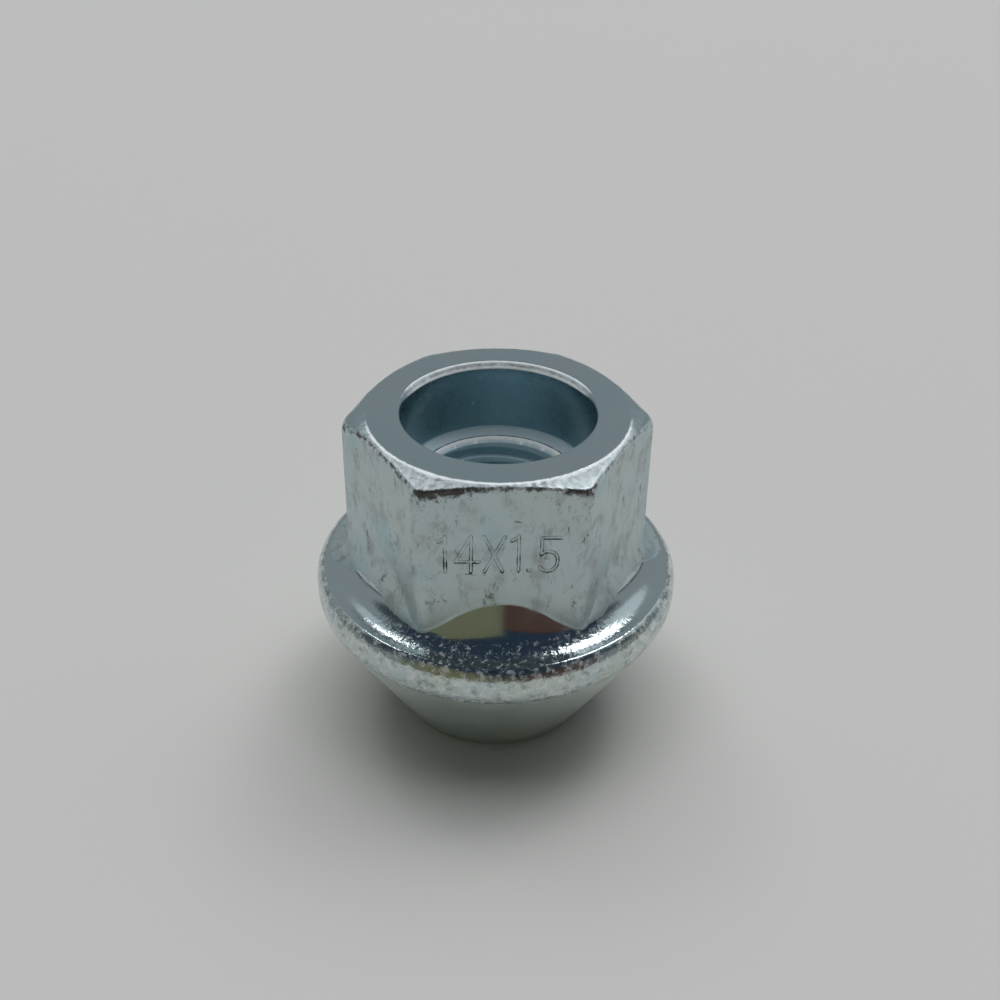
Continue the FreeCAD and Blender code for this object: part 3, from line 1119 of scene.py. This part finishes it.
FINISHES: dict[Zone, ZincFinish] = {
    # Zinc over a faced end: even satin grey with hardly visible tool rings.
    Zone.LAND: ZincFinish(
        "turned_zinc_land", tint="#BBCED3", roughness=0.27,
        patches=(THIN_SMEARS, replace(FILM, colour="#C3CDD2")),
        reliefs=(replace(RINGS, strength=0.10), GRAIN),
    ),
    # Zinc over a turned cone: dull, with a yellow-green film and fine rings.
    Zone.SEAT: ZincFinish(
        "turned_zinc_seat", tint="#DAE5DE", roughness=0.34,
        patches=(THIN_SMEARS, replace(FILM, colour="#E0E6D9")),
        reliefs=(replace(RINGS, strength=0.12), GRAIN),
    ),
    # Zinc over a rolled edge that has knocked about in a drum: bright with a fine peened skin.
    Zone.RIM: ZincFinish(
        "rolled_zinc_rim", tint="#C3D1D3", roughness=0.16,
        patches=(
            SMEARS, FILM,
            Patch(size=0.40, low=0.48, high=0.64, share=0.50, colour="#626563", detail=6.0,
                  rough=0.7),
            Patch(size=0.30, low=0.48, high=0.62, share=0.65, colour="#F4F6F6", gloss=0.12,
                  metal=-0.50, detail=5.0, rough=0.7),
            # A small rust stain on the left of the band.
            Patch(size=0.25, low=0.95, high=1.15, share=0.6, colour="#A8835E", mark="stained",
                  lift=0.75, detail=4.0),
        ),
        reliefs=(Relief(0.90, 0.22), replace(GRAIN, strength=0.20)),
    ),
    # Zinc over a cold-formed hollow: nearly a mirror, peened on the side that was struck, with
    # painted white glints among the dents.
    Zone.HOLLOW: ZincFinish(
        "formed_zinc_hollow", tint="#C3D1D4", roughness=0.09,
        patches=(
            SMEARS,
            # Painted white glints on the peened front.
            Patch(size=0.24, low=0.655, high=0.71, share=0.60, colour="#F2F5F6", gloss=0.2,
                  metal=-0.8, mark="peened_and_glinting", lift=0.12, detail=7.0, rough=0.85),
        ),
        reliefs=(
            Relief(0.08, 0.40), Relief(0.55, 0.20, mark="peened_and_glinting"), replace(GRAIN, strength=0.05),
        ),
    ),
    # Zinc over forged flats: satin, streaked by drawing and by the tool that gripped it, dark
    # where the edges wore through, with dirt and painted shade in the figures and dirt in the
    # scratches.
    Zone.FLATS: ZincFinish(
        "forged_zinc_flats", tint="#C2D1D4", roughness=0.36, metallic=0.88,
        patches=(
            SMEARS, replace(FILM, colour="#C3D0CC"),
            Patch(size=2.8, low=0.55, high=0.72, share=0.45, colour="#A4C9D2"),
            Patch(size=0.9, low=0.54, high=0.70, share=0.35, colour="#A4989C", detail=4.0),
            Patch(size=0.60, low=0.52, high=0.61, share=0.36, colour="#8A9092", detail=7.0,
                  rough=0.8, stretch=(1.0, 1.0, 0.5)),
            Patch(size=0.70, low=0.570, high=0.615, share=0.75, colour="#4A4442", detail=9.0,
                  rough=0.88, stretch=(1.0, 1.0, 0.45)),
            WORN, WORN_OLIVE,
            # Dirt and painted shade in the sunk figures, and dark scratches.
            Patch(size=0.40, low=0.78, high=1.02, share=0.95, colour="#1C2224", mark="dirt_and_shade",
                  lift=0.55),
        ),
        reliefs=(replace(GRAIN, strength=0.30), Relief(0.12, 0.5)),
    ),
    # Zinc over the crushed crown: as the faced end, bright from scraping with a painted highlight
    # at the front, dark at the rim.
    Zone.CROWN: ZincFinish(
        "crushed_zinc_crown", tint="#BBCED3", roughness=0.26,
        patches=(SMEARS, SCRAPED_AND_HIGHLIT, WORN),
        reliefs=(Relief(0.45, 0.35, mark="scraped_and_highlit"), Relief(0.15, 0.15, 3.0)),
    ),
    # Zinc over the mouth's short chamfer: white along its far side from scraping and a painted
    # highlight.
    Zone.MOUTH: ZincFinish(
        "crushed_zinc_mouth", tint="#BBCED3", roughness=0.30,
        patches=(SMEARS, replace(SCRAPED_AND_HIGHLIT, metal=-0.95, gloss=0.3)),
        reliefs=(Relief(0.5, 0.25, mark="scraped_and_highlit"), Relief(0.15, 0.15, 3.0)),
    ),
    # Zinc over a bored wall: smooth, its tint darkened to a deeper blue as painted shade.
    Zone.BORE: ZincFinish(
        "shaded_bored_zinc_wall", tint="#86A2AC", roughness=0.26,
        patches=(THIN_SMEARS, replace(FILM, colour="#8AA5A8")),
        reliefs=(replace(RINGS, strength=0.08),),
    ),
    # Zinc over the cut ledge: dull and pale, with a painted shadow line along its edge and a
    # painted highlight on the bevel.
    Zone.LEDGE: ZincFinish(
        "cut_zinc_ledge", tint="#C2D8E0", roughness=0.38, metallic=0.25,
        patches=(
            # The painted highlight on the bevel's far side.
            THIN_SMEARS, replace(SCRAPED_AND_HIGHLIT, metal=-0.25),
            # The painted shadow line along the ledge's edge.
            Patch(size=0.40, low=0.70, high=1.25, share=0.85, colour="#26333B", mark="dirt_and_shade",
                  lift=0.85),
        ),
        reliefs=(RINGS,),
    ),
    # Zinc over the cut thread: dull and pale on the crests, dark in the grooves.
    Zone.THREAD: ZincFinish(
        "cut_zinc_thread", tint="#D0E4EB", roughness=0.40, metallic=0.35,
        patches=(THIN_SMEARS,),
        reliefs=(RINGS,),
    ),
}


# Surroundings


@dataclass(frozen=True)
class Floor:
    """A plain pale floor."""

    colour: str = "#BEBEBC"
    reach: float = 3.0
    roughness: float = 0.9

    def build(self) -> bpy.types.Object:
        """Makes the floor as one square at z = 0.

        Returns:
            The floor.
        """
        r = self.reach
        mesh = bpy.data.meshes.new("floor")
        mesh.from_pydata([(-r, -r, 0), (r, -r, 0), (r, r, 0), (-r, r, 0)], [], [(0, 1, 2, 3)])
        material = bpy.data.materials.new("pale_floor")
        material.use_nodes = True
        shader = material.node_tree.nodes["Principled BSDF"]
        shader.inputs["Base Color"].default_value = linear(self.colour)
        shader.inputs["Roughness"].default_value = self.roughness
        mesh.materials.append(material)
        floor = put_in_scene("floor", mesh)
        return floor


def heading(elevation: float, azimuth: float) -> Vector:
    """The direction at an elevation and an azimuth in degrees, of length 1."""
    e, a = math.radians(elevation), math.radians(azimuth)
    return Vector((math.cos(e) * math.cos(a), math.cos(e) * math.sin(a), math.sin(e)))


@dataclass(frozen=True)
class Softbox:
    """A square studio lamp that faces the nut: angles in degrees, sizes in metres."""

    name: str
    elevation: float
    azimuth: float
    distance: float
    size: float
    radiance: float
    mirrored: bool = True

    def build(self) -> bpy.types.Object:
        """Makes the lamp; its power is its radiance times pi times its area.

        Returns:
            The lamp.
        """
        lamp = bpy.data.lights.new(self.name, "AREA")
        lamp.shape = "SQUARE"
        lamp.size = self.size
        lamp.energy = self.radiance * math.pi * self.size**2
        body = put_in_scene(self.name, lamp)
        body.visible_glossy = self.mirrored
        away = heading(self.elevation, self.azimuth)
        body.location = away * self.distance
        body.rotation_euler = away.to_track_quat("Z", "Y").to_euler()
        return body


@dataclass(frozen=True)
class Glow:
    """A soft area of the studio, bright or dark: full within inner degrees, gone at outer."""

    elevation: float
    azimuth: float
    inner: float
    outer: float
    level: Triple


Stops = tuple[tuple[float, Triple], ...]
DARK: Triple = (0.025, 0.038, 0.06)
DIM: Triple = (0.06, 0.07, 0.08)


@dataclass(frozen=True)
class StudioSky:
    """The studio round the nut: grey walls, a dark ceiling, and soft bright and dark areas.

    A stop's place is the height of a direction's arrow tip, 0 at the horizon and 1 overhead.
    The front has its own warm low band, olive on the left and red-brown on the right. Above it
    is dark, and the band reaches higher towards the sides by front_tilt.
    """

    backdrop: str = "#BEBEBC"
    walls: Stops = (
        (0.00, (0.02, 0.022, 0.025)),
        (0.03, (0.04, 0.045, 0.05)),
        (0.07, (0.28, 0.30, 0.31)),
        (0.70, (0.29, 0.31, 0.32)),
        (0.84, (0.03, 0.045, 0.065)),
    )
    front_left: Stops = (
        (0.00, (0.17, 0.165, 0.10)),
        (0.46, (0.16, 0.155, 0.09)),
        (0.50, DARK),
    )
    front_right: Stops = (
        (0.00, (0.09, 0.05, 0.04)),
        (0.13, (0.075, 0.038, 0.03)),
        (0.17, DARK),
    )
    front_edge: tuple[float, float] = (-0.70, -0.40)
    front_turn: tuple[float, float] = (-0.02, 0.12)
    front_tilt: float = 0.8
    glows: tuple[Glow, ...] = (
        Glow(52.0, 143.0, 7.0, 13.0, (0.52, 0.56, 0.58)),
        Glow(41.0, 25.0, 10.0, 18.0, (0.60, 0.64, 0.66)),
        Glow(50.0, -160.0, 9.0, 17.0, DARK),
        Glow(42.0, -20.0, 9.0, 16.0, DARK),
        Glow(30.0, -173.0, 7.0, 19.0, DIM),
        Glow(24.0, -5.0, 4.0, 14.0, DIM),
    )

    def build(self) -> None:
        """Makes the world from a direction's height, its side and its nearness to each glow.

        Layers are mixed by smooth steps. The cosine of the azimuth parts the front's gradients
        into left and right, its sine leads from them to the walls' gradient, and each glow comes
        in with the cosine of the angle from its middle. The camera sees the backdrop.
        """
        world = bpy.data.worlds.new("studio")
        world.use_nodes = True
        tree = world.node_tree
        tree.nodes.clear()
        node = partial(add_node, tree)
        way = node("TexCoord", "Generated")
        level = node("VectorMath", 0, {0: way, 1: (1.0, 1.0, 0.0)}, operation="MULTIPLY")
        flat = node("VectorMath", 0, {0: level}, operation="NORMALIZE")
        up = node("SeparateXYZ", 2, {0: way})
        aside = node("SeparateXYZ", 0, {0: way})
        aside = node("Math", 0, {0: aside}, operation="ABSOLUTE")
        bent = node("Math", 0, {0: aside, 1: -self.front_tilt, 2: up}, operation="MULTIPLY_ADD")
        bands = []
        for stops, height in (
            (self.front_left, bent), (self.front_right, bent), (self.walls, up)
        ):
            band = node("ValToRGB", "Color", {"Fac": height})
            ramp = band.node.color_ramp
            while len(ramp.elements) < len(stops):
                ramp.elements.new(0.5)
            for element, (place, colour) in zip(ramp.elements, stops):
                element.position = place
                element.color = (*colour, 1.0)
            bands.append(band)
        layers = [
            (node("SeparateXYZ", axis, {0: flat}), *side, bands[axis + 1])
            for axis, side in enumerate((self.front_turn, self.front_edge))
        ]
        for glow in self.glows:
            aim = {0: way, 1: heading(glow.elevation, glow.azimuth)}
            near = node("VectorMath", "Value", aim, operation="DOT_PRODUCT")
            gone, full = (math.cos(math.radians(a)) for a in (glow.outer, glow.inner))
            layers.append((near, gone, full, (*glow.level, 1.0)))
        light = bands[0]
        for value, low, high, colour in layers:
            share = node(
                "MapRange", 0, {"Value": value, "From Min": low, "From Max": high},
                interpolation_type="SMOOTHSTEP",
            )
            mix = {"Factor": share, 6: light, 7: colour}
            light = node("Mix", 2, mix, data_type="RGBA")
        seen = node("LightPath", "Is Camera Ray")
        mix = {"Factor": seen, 6: light, 7: linear(self.backdrop)}
        colour = node("Mix", 2, mix, data_type="RGBA")
        shader = node("Background", 0, {"Color": colour})
        node("OutputWorld", 0, {"Surface": shader})
        bpy.context.scene.world = world


@dataclass(frozen=True)
class ViewCamera:
    """The camera at the photograph's place: millimetres and degrees, clip in metres."""

    distance: float = 78.454
    height: float = 73.989
    pitch: float = 34.61
    roll: float = 1.00
    yaw: float = 0.18
    turn: float = -2.43
    lens: float = 41.4
    sensor: float = 36.0
    clip: Pair = (0.002, 20.0)

    def build(self) -> bpy.types.Object:
        """Makes the camera from its pitch, yaw and roll, turned about the nut's axis.

        Returns:
            The camera.
        """
        pitch, roll, yaw = (math.radians(a) for a in (self.pitch, self.roll, self.yaw))
        ahead = Vector(
            (math.sin(yaw) * math.cos(pitch), math.cos(yaw) * math.cos(pitch), -math.sin(pitch))
        )
        right = Vector((math.cos(yaw), -math.sin(yaw), 0.0))
        up = right.cross(ahead)
        across = right * math.cos(roll) + up * math.sin(roll)
        upward = up * math.cos(roll) - right * math.sin(roll)
        axes = Matrix((across, upward, -ahead)).transposed().to_4x4()
        place = Matrix.Translation(Vector((0.0, -self.distance, self.height)) * MM)
        camera = put_in_scene("view_camera", bpy.data.cameras.new("view_camera"))
        camera.matrix_world = Matrix.Rotation(math.radians(self.turn), 4, "Z") @ place @ axes
        camera.data.lens = self.lens
        camera.data.sensor_width = self.sensor
        camera.data.clip_start, camera.data.clip_end = self.clip
        bpy.context.scene.camera = camera
        return camera


LAMPS: tuple[Softbox, ...] = (
    Softbox("big_softbox", 78.0, 88.0, 3.0, 3.0, 2.95, mirrored=False),
    Softbox("left_window", 58.0, 130.0, 3.0, 0.42, 4.0),
    Softbox("right_window", 61.0, 38.0, 3.0, 0.95, 4.0),
)


def main() -> None:
    """Builds the nut and its surroundings in order and reports each piece."""
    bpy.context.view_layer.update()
    bpy.context.scene.view_settings.view_transform = "Standard"

    body = NutBody().build()
    for zone in Zone:
        body.data.materials.append(FINISHES[zone].make())
    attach(body, "root")
    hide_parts("lug_nut")
    log.info("%s: %d faces, %d finishes", body.name, len(body.data.polygons), len(Zone))

    log.info("%s", Floor().build().name)
    for lamp in LAMPS:
        log.info("%s", lamp.build().name)
    StudioSky().build()
    log.info("%s", ViewCamera().build().name)


if __name__ == "__main__":
    logging.basicConfig(level=logging.INFO, format="%(message)s")
    main()
